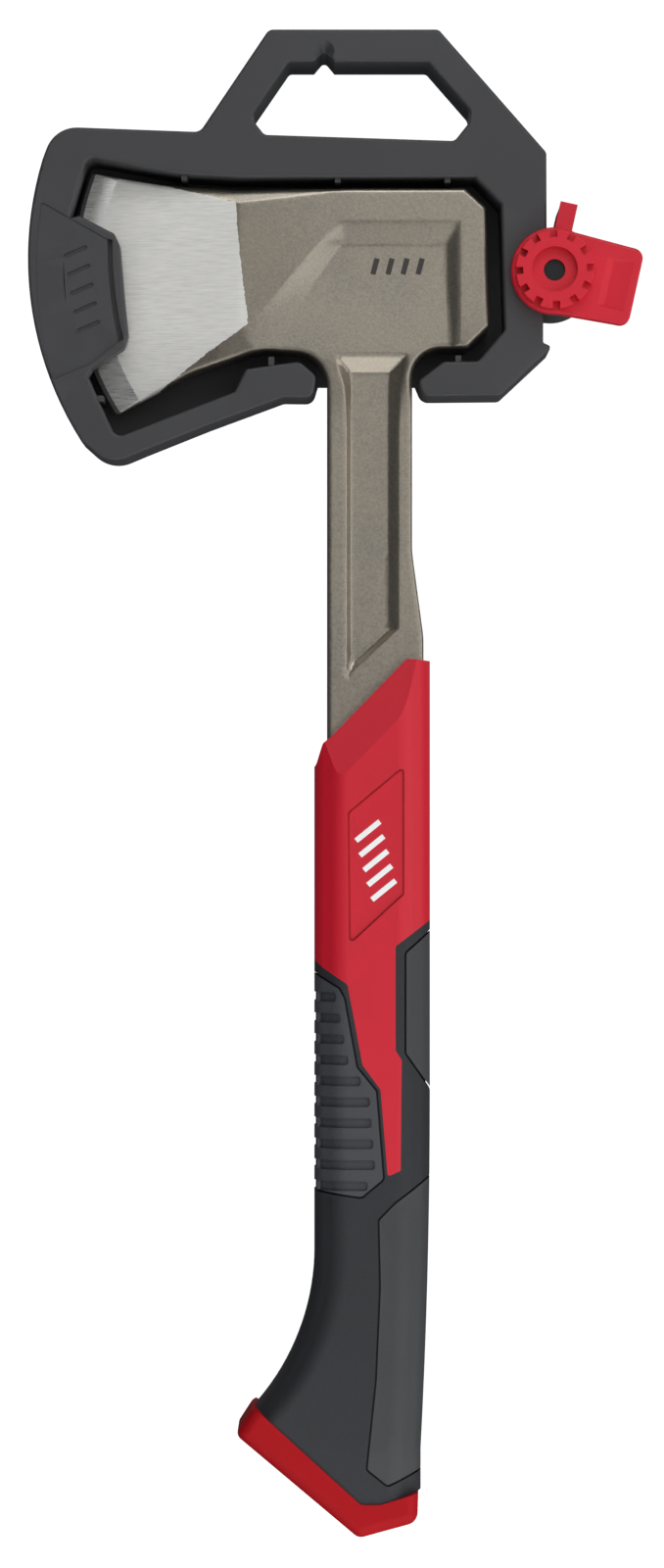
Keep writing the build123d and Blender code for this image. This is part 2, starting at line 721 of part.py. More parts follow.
# Pads: each wraps round one long side of the grip and sits in a grooved pocket.
SLOTS, SLOT_FIRST, SLOT_PITCH = 10, -262.6, 5.83
SLOT_TALL, SLOT_MARGIN, SLOT_ROUND = 2.7, 1.95, 0.9
SLOT_RUN_OUT = 12.0


def slot_end(z):
    """X of the rib pad's inner edge at height z, less the margin a slot keeps from it."""
    edge = [corner[:2] for corner in RIB_PAD[2:8]]
    for (x_high, z_high), (x_low, z_low) in zip(edge, edge[1:]):
        if z_low <= z <= z_high:
            return x_high + (x_low - x_high) * (z_high - z) / (z_high - z_low) - SLOT_MARGIN
    return edge[-1][0] - SLOT_MARGIN


with BuildPart() as rib_slots:
    with BuildSketch(facing_front(GRIP_HALF + 2)):
        for index in range(SLOTS):
            z = SLOT_FIRST - index * SLOT_PITCH
            length = slot_end(z) + SLOT_RUN_OUT
            with Locations((slot_end(z) - length / 2, z)):
                RectangleRounded(length, SLOT_TALL, SLOT_ROUND)
    extrude(amount=2 * GRIP_HALF + 4)
    add(slot_floor_bar, mode=Mode.SUBTRACT)
    with BuildSketch(Plane.XY.offset(SLOT_FIRST + SLOT_PITCH)):
        with Locations((GRIP_LEFT + SLOT_SIDE_DEPTH, 0)):
            Rectangle(10, 2 * (GRIP_HALF - CORNER_DROP), align=(Align.MIN, Align.CENTER))
    extrude(amount=-(SLOTS + 1) * SLOT_PITCH, mode=Mode.SUBTRACT)
with BuildPart() as front_rib_pad:
    add(outer_bar)
    add(region(RIB_PAD), mode=Mode.INTERSECT)
    add(pad_floor_bar, mode=Mode.SUBTRACT)
    add(rib_slots.part, mode=Mode.SUBTRACT)
write(front_rib_pad, "front_rib_pad")

with BuildPart() as upper_back_pad:
    add(outer_bar)
    add(region(UPPER_PAD), mode=Mode.INTERSECT)
    add(pad_floor_bar, mode=Mode.SUBTRACT)
write(upper_back_pad, "upper_back_pad")

with BuildPart() as lower_back_pad:
    add(outer_bar)
    add(region(LOWER_PAD), mode=Mode.INTERSECT)
    add(pad_floor_bar, mode=Mode.SUBTRACT)
write(lower_back_pad, "lower_back_pad")

with BuildPart() as pad_pockets:
    add(outer_bar)
    with BuildSketch(facing_front(GRIP_HALF + 2)):
        for corners in (RIB_PAD, UPPER_PAD, LOWER_PAD):
            add(pocket(corners))
    extrude(amount=2 * GRIP_HALF + 4, mode=Mode.INTERSECT)
    add(pad_floor_bar, mode=Mode.SUBTRACT)
overmould_reach = region([(-60.0, -240.0, 0), (60.0, -230.0, 0), (60.0, -430.0, 0), (-60.0, -430.0, 0)])
with BuildPart() as grip_overmould:
    add(outer_bar)
    add(above_cap, mode=Mode.INTERSECT)
    add(overmould_reach, mode=Mode.INTERSECT)
    add(red_region, mode=Mode.SUBTRACT)
    add(core_bar, mode=Mode.SUBTRACT)
    add(pad_pockets.part, mode=Mode.SUBTRACT)
write(grip_overmould, "grip_overmould")

# Butt cap: stands a little proud of the grip and takes the core's spigot.
cap_outline = profile(
    [
        (-17.6, -375.6, 0),
        (26.4, -396.0, 0),
        (26.0, -408.8, 3.5),
        (9.6, -413.3, 3),
        (-24.9, -384.3, 2.4),
        (-20.4, -377.4, 1.2),
    ]
)
with BuildPart() as butt_cap:
    with BuildSketch(facing_front(GRIP_HALF + CAP_PROUD)):
        add(cap_outline)
    extrude(amount=2 * (GRIP_HALF + CAP_PROUD))
    rim = butt_cap.faces().group_by(Axis.Y)
    fillet(rim[0].edges() + rim[-1].edges(), CAP_ROUND)
    add(above_cap, mode=Mode.SUBTRACT)
write(butt_cap, "butt_cap")
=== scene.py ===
import math

import bmesh
import bpy
import numpy as np
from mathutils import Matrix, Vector
from mathutils.geometry import delaunay_2d_cdt


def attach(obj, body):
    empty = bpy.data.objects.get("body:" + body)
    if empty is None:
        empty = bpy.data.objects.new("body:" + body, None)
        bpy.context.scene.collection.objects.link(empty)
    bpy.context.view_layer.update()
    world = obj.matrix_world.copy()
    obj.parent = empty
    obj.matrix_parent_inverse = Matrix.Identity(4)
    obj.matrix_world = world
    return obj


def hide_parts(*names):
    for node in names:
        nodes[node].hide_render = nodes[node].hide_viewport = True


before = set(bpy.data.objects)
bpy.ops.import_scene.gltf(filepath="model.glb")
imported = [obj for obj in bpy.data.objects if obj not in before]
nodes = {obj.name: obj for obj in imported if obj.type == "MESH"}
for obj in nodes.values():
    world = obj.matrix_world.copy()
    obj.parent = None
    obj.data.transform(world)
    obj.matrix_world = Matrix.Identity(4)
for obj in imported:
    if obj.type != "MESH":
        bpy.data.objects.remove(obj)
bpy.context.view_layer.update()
scene = bpy.context.scene
scene.view_settings.view_transform = "Standard"
MM = 0.001


# --- materials ---------------------------------------------------------------------------
def linear(red, green, blue):
    """A display colour, 0 to 255 a channel, as the linear colour that a shader takes."""
    out = []
    for value in (red, green, blue):
        value = value / 255
        out.append(value / 12.92 if value <= 0.04045 else ((value + 0.055) / 1.055) ** 2.4)
    return (*out, 1.0)


def shaded(colour, factor):
    """The colour made lighter or darker."""
    return (*(min(1.0, channel * factor) for channel in colour[:3]), 1.0)


class Finish:
    """A material being put together: its principled shader and short ways to add nodes."""

    def __init__(self, name):
        self.material = bpy.data.materials.new(name)
        self.material.use_nodes = True
        self.tree = self.material.node_tree
        self.shader = self.tree.nodes["Principled BSDF"]
        self.place = self.add("ShaderNodeTexCoord").outputs["Object"]

    def add(self, kind, **values):
        node = self.tree.nodes.new(kind)
        for key, value in values.items():
            setattr(node, key, value)
        return node

    def link(self, source, target):
        self.tree.links.new(source, target)

    def feed(self, socket, source):
        """Links a node's output to the shader's socket of that name."""
        self.link(source, self.shader.inputs[socket])

    def constant(self, **values):
        """Sets sockets of the shader, named with _ for each space."""
        for key, value in values.items():
            self.shader.inputs[key.replace("_", " ")].default_value = value

    def stretched(self, scale, turn):
        """Object coordinates, turned and scaled apart on each axis."""
        mapping = self.add("ShaderNodeMapping")
        mapping.inputs["Rotation"].default_value = turn
        mapping.inputs["Scale"].default_value = scale
        self.link(self.place, mapping.inputs["Vector"])
        return mapping.outputs["Vector"]

    def noise(self, scale, detail, roughness, where=None):
        node = self.add("ShaderNodeTexNoise")
        node.inputs["Scale"].default_value = scale
        node.inputs["Detail"].default_value = detail
        node.inputs["Roughness"].default_value = roughness
        self.link(where or self.place, node.inputs["Vector"])
        return node.outputs["Fac"]

    def spread(self, source, low, high, start=0.3, end=0.7):
        """The source's span from start to end, mapped to low to high."""
        node = self.add("ShaderNodeMapRange")
        for name, value in (("From Min", start), ("From Max", end), ("To Min", low), ("To Max", high)):
            node.inputs[name].default_value = value
        self.link(source, node.inputs["Value"])
        return node.outputs["Result"]

    def ramp(self, source, *stops):
        """A colour for each value of the source, from (position, colour) stops."""
        node = self.add("ShaderNodeValToRGB")
        band = node.color_ramp
        while len(band.elements) < len(stops):
            band.elements.new(0.5)
        for element, (position, colour) in zip(band.elements, stops):
            element.position = position
            element.color = colour
        self.link(source, node.inputs["Fac"])
        return node.outputs["Color"]

    def blend(self, factor, first, second):
        """A mix of two colours, each a node's output or a constant."""
        node = self.add("ShaderNodeMix", data_type="RGBA")
        for name, value in (("Factor", factor), ("A", first), ("B", second)):
            socket = next(socket for socket in node.inputs if socket.name == name and socket.enabled)
            if isinstance(value, tuple):
                socket.default_value = value
            else:
                self.link(value, socket)
        return next(socket for socket in node.outputs if socket.enabled)

    def bump(self, height, strength, distance, below=None):
        node = self.add("ShaderNodeBump")
        node.inputs["Strength"].default_value = strength
        node.inputs["Distance"].default_value = distance
        self.link(height, node.inputs["Height"])
        if below is not None:
            self.link(below, node.inputs["Normal"])
        return node.outputs["Normal"]

    def edges(self):
        """0 on flats, 1 on sharp outer edges."""
        node = self.add("ShaderNodeNewGeometry")
        return self.spread(node.outputs["Pointiness"], 0.0, 1.0, 0.51, 0.56)


def moulded(name, colour, grain, roughness, edge_highlight=1.12):
    """Moulded plastic or rubber: fine grain, slight colour and gloss variation, and a painted
    highlight that lightens sharp outer edges.
    """
    finish = Finish(name)
    fine = finish.noise(grain, 4.0, 0.6)
    broad = finish.noise(38.0, 2.0, 0.5)
    tone = finish.ramp(broad, (0.3, shaded(colour, 0.95)), (0.7, shaded(colour, 1.05)))
    # Painted highlight: sharp outer edges get a lighter colour, standing in for light caught on their
    # rounding.
    finish.feed("Base Color", finish.blend(finish.edges(), tone, shaded(colour, edge_highlight)))
    finish.feed("Roughness", finish.spread(fine, roughness - 0.05, roughness + 0.06))
    finish.feed("Normal", finish.bump(fine, 0.25, 0.00008))
    return finish


def painted(name, colour, patches):
    """Metallic paint on rough steel: speckle, warmer patches, and a bumpy skin."""
    finish = Finish(name)
    speckle = finish.noise(1500.0, 3.0, 0.7)
    broad = finish.noise(60.0, 3.0, 0.5)
    tone = finish.ramp(
        speckle, (0.34, shaded(colour, 0.84)), (0.5, colour), (0.66, shaded(colour, 1.16))
    )
    finish.feed("Base Color", finish.blend(finish.spread(broad, 0.0, 0.22), tone, patches))
    finish.constant(Metallic=0.9)
    finish.feed("Roughness", finish.spread(speckle, 0.30, 0.40))
    skin = finish.bump(finish.noise(520.0, 3.0, 0.55), 0.4, 0.00012)
    finish.feed("Normal", finish.bump(speckle, 0.3, 0.00006, skin))
    return finish


def brushed(name, colour, metallic, roughness, depth):
    """Ground steel: fine, nearly level brush lines, slight clouds, and matching gloss."""
    finish = Finish(name)
    level = finish.stretched((36.0, 900.0, 3400.0), (0.0, math.radians(5.0), 0.0))
    lines = finish.noise(1.0, 4.0, 0.6, level)
    cloud = finish.noise(55.0, 3.0, 0.5)
    tone = finish.ramp(
        lines, (0.3, shaded(colour, 0.85)), (0.5, colour), (0.7, shaded(colour, 1.1))
    )
    finish.feed("Base Color", finish.blend(finish.spread(cloud, 0.0, 0.2), tone, shaded(colour, 0.86)))
    finish.constant(Metallic=metallic, Anisotropic=0.5)
    finish.feed("Roughness", finish.spread(lines, roughness - 0.06, roughness + 0.08))
    finish.feed("Normal", finish.bump(lines, depth, 0.00006))
    return finish


sheath_plastic = moulded("sheath_plastic", linear(61, 61, 63), 2600.0, 0.52)
grip_rubber = moulded("grip_rubber", linear(33, 34, 39), 1900.0, 0.66)
rib_rubber = moulded("rib_rubber", linear(61, 62, 67), 1900.0, 0.6)
pad_rubber = moulded("pad_rubber", linear(55, 57, 59), 1900.0, 0.66)
red_nylon = moulded("red_nylon", linear(206, 15, 41), 1500.0, 0.5, 1.05)
cap_red = moulded("cap_red", linear(160, 2, 14), 1500.0, 0.68, 1.05)
cap_red.constant(Specular_IOR_Level=0.2)
lever_red = moulded("lever_red", linear(216, 12, 42), 1500.0, 0.5, 1.05)
white_print = moulded("white_print", linear(250, 248, 246), 900.0, 0.55)
dark_print = moulded("dark_print", linear(52, 50, 47), 900.0, 0.5)
damper = moulded("damper", linear(40, 40, 42), 900.0, 0.75)
black_steel = moulded("black_steel", linear(48, 48, 50), 1800.0, 0.45)
black_steel.constant(Metallic=0.85)
forging_paint = painted("forging_paint", linear(155, 149, 138), linear(190, 172, 150))
ground_steel = brushed("ground_steel", linear(236, 235, 230), 0.12, 0.42, 0.35)
honed_steel = brushed("honed_steel", linear(238, 238, 234), 0.8, 0.3, 0.5)
# The fine edge's steel is painted dark grey: a painted reflection of the dark sheath wall beside it,
# not a darker steel.
edge_steel_painted_reflection = brushed("edge_steel_painted_reflection", linear(120, 120, 120), 0.7, 0.34, 0.2)

FINISHES = {
    "sheath_front_frame": sheath_plastic,
    "sheath_back_plate": sheath_plastic,
    "back_screws": black_steel,
    "lock_lever": lever_red,
    "pivot_screw": black_steel,
    "lever_washer": black_steel,
    "forged_head_and_tang": forging_paint,
    "tang_damper": damper,
    "handle_core": red_nylon,
    "butt_cap": cap_red,
    "grip_overmould": grip_rubber,
    "front_rib_pad": rib_rubber,
    "upper_back_pad": pad_rubber,
    "lower_back_pad": pad_rubber,
}
for name, finish in FINISHES.items():
    mesh = nodes[name].data
    mesh.materials.clear()
    mesh.materials.append(finish.material)


# --- lines and outlines in (x, z), in millimetres ----------------------------------------
def evenly_cut(line, step, closed):
    """The line with points added, so that no two neighbours are more than step apart."""
    ends = line[1:] + line[:1] if closed else line[1:]
    dense = []
    for start, end in zip(line, ends):
        steps = max(1, math.ceil(np.linalg.norm(end - start) / step))
        dense.extend(start + (end - start) * part / steps for part in range(steps))
    if not closed:
        dense.append(line[-1])
    return np.array(dense)


def open_line(corners, step):
    """A line through (x, z) corners, as points at most step apart."""
    return evenly_cut([np.array(corner, float) for corner in corners], step, closed=False)


def corner_arc(corner, back, ahead, radius, step):
    """Points that round the corner between its two sides, at most step apart."""
    back = back / np.linalg.norm(back)
    ahead = ahead / np.linalg.norm(ahead)
    half = math.acos(float(np.clip(back @ ahead, -1, 1))) / 2
    reach = radius / math.tan(half)
    middle = (back + ahead) / np.linalg.norm(back + ahead) * radius / math.sin(half)
    first, last = back * reach - middle, ahead * reach - middle
    turn = math.atan2(first[0] * last[1] - first[1] * last[0], float(first @ last))
    steps = max(2, math.ceil(abs(turn) * radius / step))
    points = []
    for part in range(steps + 1):
        angle = turn * part / steps
        spin = np.array([[math.cos(angle), -math.sin(angle)], [math.sin(angle), math.cos(angle)]])
        points.append(corner + middle + spin @ first)
    return points


def arc_through(start, middle, end, step):
    """Points between start and end on the circle through the three points."""
    rows = np.array([middle - start, end - start]) * 2
    centre = np.linalg.solve(rows, [middle @ middle - start @ start, end @ end - start @ start])
    radius = np.linalg.norm(start - centre)
    first = math.atan2(*(start - centre)[::-1])
    turn = math.atan2(*(end - centre)[::-1]) - first
    turn = (turn + math.pi) % (2 * math.pi) - math.pi
    steps = math.ceil(abs(turn) * radius / step)
    angles = [first + turn * part / steps for part in range(1, steps)]
    return [centre + radius * np.array([math.cos(angle), math.sin(angle)]) for angle in angles]


def rounded(corners, step):
    """A closed outline of (x, z, radius) corners, as points at most step apart. Two more values
    give a point that the arc to the next corner passes through."""
    spots = [np.array(corner[:2], float) for corner in corners]
    line = []
    for index, corner in enumerate(corners):
        spot, following = spots[index], spots[(index + 1) % len(spots)]
        radius = corner[2]
        if radius:
            line.extend(corner_arc(spot, spots[index - 1] - spot, following - spot, radius, step))
        else:
            line.append(spot)
        if len(corner) == 5:
            line.extend(arc_through(spot, np.array(corner[3:], float), following, step))
    return evenly_cut(line, step, closed=True)


def distance_to(outline, points):
    """Distance from each point to the closed outline."""
    nearest = np.full(len(points), 1e9)
    for start, end in zip(outline, np.roll(outline, -1, axis=0)):
        along = end - start
        size = along @ along
        if size < 1e-12:
            continue
        part = np.clip((points - start) @ along / size, 0, 1)
        gap = points - start - part[:, None] * along
        nearest = np.minimum(nearest, np.sqrt((gap**2).sum(1)))
    return nearest


def inside(outline, points):
    """Whether each point lies within the closed outline."""
    within = np.zeros(len(points), bool)
    for start, end in zip(outline, np.roll(outline, -1, axis=0)):
        crosses = (start[1] > points[:, 1]) != (end[1] > points[:, 1])
        rise = end[1] - start[1]
        if abs(rise) < 1e-12:
            continue
        at = start[0] + (points[:, 1] - start[1]) / rise * (end[0] - start[0])
        within ^= crosses & (points[:, 0] < at)
    return within


def line_x(z, corners):
    """X at height z of a line through (x, z) corners, listed from the top down."""
    heights = [corner[1] for corner in corners][::-1]
    return np.interp(z, heights, [corner[0] for corner in corners][::-1])


# --- forged head: its thickness ----------------------------------------------------------
CUT_X, CUT_Z, CUT_R = 4.95, -58.93, 75.24  # the circle that the cutting edge lies on
CUT_ANGLES = (145, 215)  # the part of the circle, in degrees, that holds the cutting edge
EDGE_WIDE, BEVEL_WIDE = 1.2, 7.6  # the fine edge and the honed band, measured inward from it
EDGE_HALF, BEVEL_RISE = 0.52, 0.22  # half thickness behind the fine edge, and its rise inward
SHARP_HALF = 0.08
CHEEK_HALF, GROUND_HALF = 10.0, 9.0  # at the poll, and where the ground blade starts
POCKET_HALF = 7.5
NECK_HALF, RECESS_HALF = 6.3, 4.3
TANG_TOP, TANG_HALF = 6.4, 4.5
POCKET_RIM = [(3.2, -46.6), (-20.6, -74.8), (-25.8, -81.0)]
POCKET_FOOT = [(5.4, -51.9), (-5.6, -67.9), (-11.9, -81.0)]
RECESS_LOW, RECESS_HIGH = (7.3, -172.6), (20.9, -160.0)  # ends of the recess's slanted lower rim


def lesser(first, second, soft):
    """The smaller of two heights, with the corner between them rounded by soft."""
    mix = np.clip(0.5 + 0.5 * (second - first) / soft, 0, 1)
    return second + (first - second) * mix - soft * mix * (1 - mix)


def greater(first, second, soft):
    """The larger of two heights, rounded the same way."""
    return -lesser(-first, -second, soft)


def eased(value):
    """0 to 1, with a slow start and a slow end."""
    value = np.clip(value, 0, 1)
    return value * value * (3 - 2 * value)


def above(z, level, width):
    """0 well below the level, 1 well above it."""
    return 1 / (1 + np.exp((level - z) / width))


def cheek_half(x):
    """Half thickness of the cheek, which grows from the ground blade towards the poll."""
    return np.minimum(GROUND_HALF + 0.045 * (x + 23.8), CHEEK_HALF)


def blade_and_cheek(x, z):
    """Half thickness of the cheek, the facets above and below it, and the ground blade."""
    top_facet = 8.85 + 0.085 * (x + 24.6) - 0.44 * (z + 41.1)
    low_facet = 9.3 + 0.09 * (x + 21.4) + 0.125 * (z + 75.2)
    low_facet = np.where(x < 0, low_facet, 2 * CHEEK_HALF)
    ground = GROUND_HALF + 0.184 * (x + 23.8)
    height = lesser(lesser(cheek_half(x), top_facet, 0.12), low_facet, 0.12)
    return lesser(height, ground, 0.06)


def cheek_pocket(x, z):
    """Half thickness at the pocket: floor, top wall, right wall, and a wide facet on the left."""
    depth = CHEEK_HALF - POCKET_HALF
    floor = POCKET_HALF + 0.8 * eased((-58.0 - z) / 30.0)
    top_wall = POCKET_HALF + depth * (z + 52.9) / 6.6
    right_wall = POCKET_HALF + depth * (x - 34.2) / 3.9
    height = greater(greater(floor, top_wall, 0.25), right_wall, 0.3)
    foot, rim = line_x(z, POCKET_FOOT), line_x(z, POCKET_RIM)
    share = np.clip((foot - x) / (foot - rim), 0, 1)
    return height + (cheek_half(rim) - height) * share


def neck_recess(x, z):
    """Half thickness at the neck's long recess, whose top corners flare out."""
    flare = np.clip((z + 92.5) / 9.0, 0, 1)
    left_wall = RECESS_HALF + (1.25 - 0.2 * flare) * (7.7 - 0.9 * flare - x)
    right_wall = RECESS_HALF + (0.72 + 0.2 * flare) * (x - 18.0 - 0.7 * flare)
    top_wall = RECESS_HALF + 0.84 * (z + 88.3)
    lean = np.subtract(RECESS_HIGH, RECESS_LOW)
    lean = lean / np.linalg.norm(lean)
    past = (x - RECESS_HIGH[0]) * lean[1] - (z - RECESS_HIGH[1]) * lean[0]
    low_wall = NECK_HALF + 1.1 * past
    height = greater(np.maximum(left_wall, right_wall), low_wall, 0.15)
    return greater(greater(height, top_wall, 0.1), RECESS_HALF, 0.15)


def half_thickness(x, z):
    """Half the forging's thickness in millimetres at (x, z), without the rounding at its rim."""
    height = lesser(blade_and_cheek(x, z), cheek_pocket(x, z), 0.18)
    neck = NECK_HALF + (CHEEK_HALF - NECK_HALF) * above(z, -87.0, 4.2)
    height = lesser(height, neck, 0.8)
    height = lesser(height, neck_recess(x, z), 0.2)
    tang = TANG_HALF + (TANG_TOP - TANG_HALF) * above(z, -193.5, 1.0)
    height = np.where(z < -188.0, np.minimum(height, tang), height)
    # Only the blade is sharpened: left of x = -30.
    depth = CUT_R - np.hypot(x - CUT_X, z - CUT_Z)
    bevel = EDGE_HALF + BEVEL_RISE * (depth - EDGE_WIDE)
    edge = SHARP_HALF + (EDGE_HALF - SHARP_HALF) * np.maximum(depth, 0) / EDGE_WIDE
    sharpened = np.where(depth > EDGE_WIDE, bevel, edge)
    return np.where(x < -30, np.minimum(height, sharpened), height)


# --- forged head: where its mesh has points ----------------------------------------------
FORGING = [
    (-65.1, -32.1, 0),
    (-46.4, -35.6, 0),
    (-24.8, -37.4, 30),
    (39.3, -37.3, 0.8),
    (45.1, -42.6, 1),
    (46.1, -75.8, 1),
    (40.1, -81.8, 1),
    (24.6, -81.8, 8),
    (24.6, -138.3, 30),
    (27.8, -162.2, 30),
    (27.8, -176.0, 1),
    (21.0, -183.0, 1),
    (21.0, -388.0, 5),
    (6.0, -388.0, 5),
    (6.0, -193.0, 1),
    (0.8, -198.0, 1),
    (0.8, -83.5, 9),
    (-17.9, -82.2, 20),
    (-36.8, -88.5, 30),
    (-58.2, -99.8, 0, -70.28, -60.0),
]
GROUND_LINE = [
    (-46.4, -35.6),
    (-24.6, -41.1),
    (-24.1, -48.9),
    (-22.8, -62.0),
    (-21.4, -72.3),
    (-21.4, -75.2),
    (-27.6, -79.5),
    (-32.1, -82.5),
    (-47.0, -94.1),
]
AHEAD_OF_EDGE = [(-75.0, -110.0), (-85.0, -60.0), (-75.0, -25.0)]
CREASES = [
    POCKET_RIM[:2],
    POCKET_FOOT,
    [(3.5, -46.3), (38.1, -46.3), (38.1, -79.0)],
    [(5.4, -52.9), (34.2, -52.9), (34.2, -76.0)],
    [(-24.6, -41.1), (8.0, -38.1)],
    [(-21.4, -75.4), (-16.9, -81.8)],
    [(2.4, -82.8), (22.9, -82.8), (20.9, -91.5), RECESS_HIGH, RECESS_LOW, (6.1, -170.0)],
    [(6.1, -170.0), (6.1, -98.0), (5.2, -91.5), (2.4, -82.8)],
    [(6.9, -88.3), (18.3, -88.3), (18.1, -157.0), (7.7, -167.3), (7.7, -92.5), (6.9, -88.3)],
]
SPACING = 0.6  # between neighbours on the outline
RIM_DEPTHS = (0.1, 0.26, 0.5, 0.8, 1.15, 1.6)  # rows of points at these distances inside it
OUTLINE_GAP, GROUND_GAP = 0.08, 0.22  # least distance of other points from these two lines
GRIDS = [  # left, right, low, high, step across, step up: the head, the neck and the hidden tang
    (-71, 48, -101, -31, 0.8, 0.8),
    (0, 29, -197, -101, 0.8, 0.8),
    (6, 22, -388, -197, 3.0, 4.0),
]
CELL = 0.7  # a grid point is left out where another row has a point in the same cell


def rim_rows(outline):
    """Rows of points just inside the outline, for the rounding at the forging's rim. Points that
    pass another stretch of the outline at a corner are left out."""
    along = np.roll(outline, -1, axis=0) - np.roll(outline, 1, axis=0)
    along /= np.linalg.norm(along, axis=1)[:, None]
    inward = np.stack([along[:, 1], -along[:, 0]], 1)
    rows = []
    for depth in RIM_DEPTHS:
        row = outline + depth * inward
        row = row[inside(outline, row)]
        rows.append(row[distance_to(outline, row) > 0.96 * depth])
    return rows


def crease_rows():
    """Three rows of points for each crease: on it and a little to either side."""
    rows = []
    for corners in CREASES:
        line = open_line(corners, 0.5)
        along = np.gradient(line, axis=0)
        along /= np.linalg.norm(along, axis=1)[:, None]
        side = np.stack([along[:, 1], -along[:, 0]], 1)
        rows.extend((line - 0.3 * side, line, line + 0.3 * side))
    return rows


def edge_rows():
    """Rows of points where the fine edge and the honed band end."""
    angles = np.arange(*np.radians(CUT_ANGLES), SPACING / CUT_R)
    rows = []
    for depth in (EDGE_WIDE, EDGE_WIDE + 0.15, BEVEL_WIDE - 0.1, BEVEL_WIDE + 0.1):
        radius = CUT_R - depth
        rows.append(np.stack([CUT_X + radius * np.cos(angles), CUT_Z + radius * np.sin(angles)], 1))
    return rows


def grid_points(outline, taken):
    """Even rows of points inside the outline, where no other row has a point yet."""
    patches = []
    for left, right, low, high, across, up in GRIDS:
        patch = np.meshgrid(np.arange(left, right, across), np.arange(low, high, up))
        patches.append(np.stack(patch, -1).reshape(-1, 2))
    grid = np.concatenate(patches)
    grid = grid[inside(outline, grid)]
    grid = grid[distance_to(outline, grid) > RIM_DEPTHS[-1] + 0.3]
    cells = {tuple(cell) for cell in np.round(taken / CELL).astype(int)}
    return np.array([spot for spot in grid if tuple(np.round(spot / CELL).astype(int)) not in cells])


def ragged_line(corners, depth):
    """A line through (x, z) corners, with seeded ragged points between its two ends."""
    line = open_line(corners, SPACING)
    ragged = np.random.default_rng(7).normal(0, depth, line.shape)
    ragged[0] = ragged[-1] = 0
    return line + ragged


def flat_mesh(outline, ground_line):
    """Points and triangles that fill the outline, with edges along it and the ground line. All
    triangles turn the same way."""
    shaping = np.concatenate(rim_rows(outline) + crease_rows() + edge_rows())
    shaping = shaping[inside(outline, shaping)]
    shaping = shaping[distance_to(outline, shaping) > OUTLINE_GAP]
    grid = grid_points(outline, shaping)
    gaps = np.min([np.hypot(*(shaping - spot).T) for spot in ground_line], axis=0)
    spots = np.concatenate([outline, ground_line, shaping[gaps > GROUND_GAP], grid])
    count = len(outline)
    links = [(index, (index + 1) % count) for index in range(count)]
    links += [(count + index, count + index + 1) for index in range(len(ground_line) - 1)]
    flat = delaunay_2d_cdt([Vector(spot) for spot in spots], links, [], 0, 1e-5)
    points = np.array([tuple(spot) for spot in flat[0]])
    faces = np.array([tuple(face) for face in flat[2] if len(face) == 3])
    faces = faces[inside(outline, points[faces].mean(1))]
    used = np.unique(faces)
    renumber = -np.ones(len(points), int)
    renumber[used] = np.arange(len(used))
    points, faces = points[used], renumber[faces]
    first, second, third = (points[faces[:, corner]] for corner in range(3))
    one, other = second - first, third - first
    turning = one[:, 0] * other[:, 1] - one[:, 1] * other[:, 0]
    return points, np.where(turning[:, None] > 0, faces, faces[:, ::-1])


# --- forged head: the piece ---------------------------------------------------------------
EDGE_ROUND = 1.3
GROUND_RIM_X = -46.0  # left of this the rim itself is ground steel
PAINT, GROUND, HONED, EDGE = range(4)
HEAD_FINISHES = (forging_paint, ground_steel, honed_steel, edge_steel_painted_reflection)  # in the same order


def rounded_height(outline, points):
    """Half thickness at each point, rounded off towards the outline, and less so where thin."""
    height = half_thickness(points[:, 0], points[:, 1])
    radius = np.minimum(EDGE_ROUND, np.maximum(height - 0.6, 0) * 0.6)
    into = np.clip(distance_to(outline, points), 0, radius)
    return height - radius + np.sqrt(np.maximum(radius**2 - (radius - into) ** 2, 0))


def steel_kinds(ground_line, centres):
    """Which material each face has, from where its centre lies."""
    depths = CUT_R - np.hypot(centres[:, 0] - CUT_X, centres[:, 1] - CUT_Z)
    area = np.concatenate([ground_line, AHEAD_OF_EDGE])
    kinds = np.where(inside(area, centres), GROUND, PAINT)
    kinds[(kinds == GROUND) & (depths < BEVEL_WIDE)] = HONED
    kinds[(kinds == HONED) & (depths < EDGE_WIDE)] = EDGE
    return kinds


def forging_mesh():
    """The forging as one closed mesh: the same height field in front and behind."""
    outline = rounded(FORGING, SPACING)
    ground_line = ragged_line(GROUND_LINE, 0.1)
    points, faces = flat_mesh(outline, ground_line)
    height = rounded_height(outline, points)
    front = np.stack([points[:, 0], -height, points[:, 1]], 1)
    rear = front * (1, -1, 1)
    total = len(points)
    faces = faces.tolist()
    edges = [pair for face in faces for pair in zip(face, face[1:] + face[:1])]
    known = set(edges)
    border = [(start, end) for start, end in edges if (end, start) not in known]
    polygons = faces + [[corner + total for corner in reversed(face)] for face in faces]
    polygons += [(end, start, start + total, end + total) for start, end in border]
    mesh = bpy.data.meshes.new("forged_head")
    mesh.from_pydata((np.concatenate([front, rear]) * MM).tolist(), [], polygons)
    mesh.update()
    kinds = steel_kinds(ground_line, points[faces].mean(1))
    middles = points[border].mean(1)
    rim_kinds = np.where(middles[:, 0] < GROUND_RIM_X, GROUND, PAINT)
    for finish in HEAD_FINISHES:
        mesh.materials.append(finish.material)
    all_kinds = np.concatenate([kinds, kinds, rim_kinds]).astype(np.int32)
    mesh.polygons.foreach_set("material_index", all_kinds)
    mesh.polygons.foreach_set("use_smooth", [True] * len(polygons))
    return mesh


head = bpy.data.objects.new("forged_head", forging_mesh())
scene.collection.objects.link(head)
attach(head, "hatchet")
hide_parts("forged_head_and_tang")


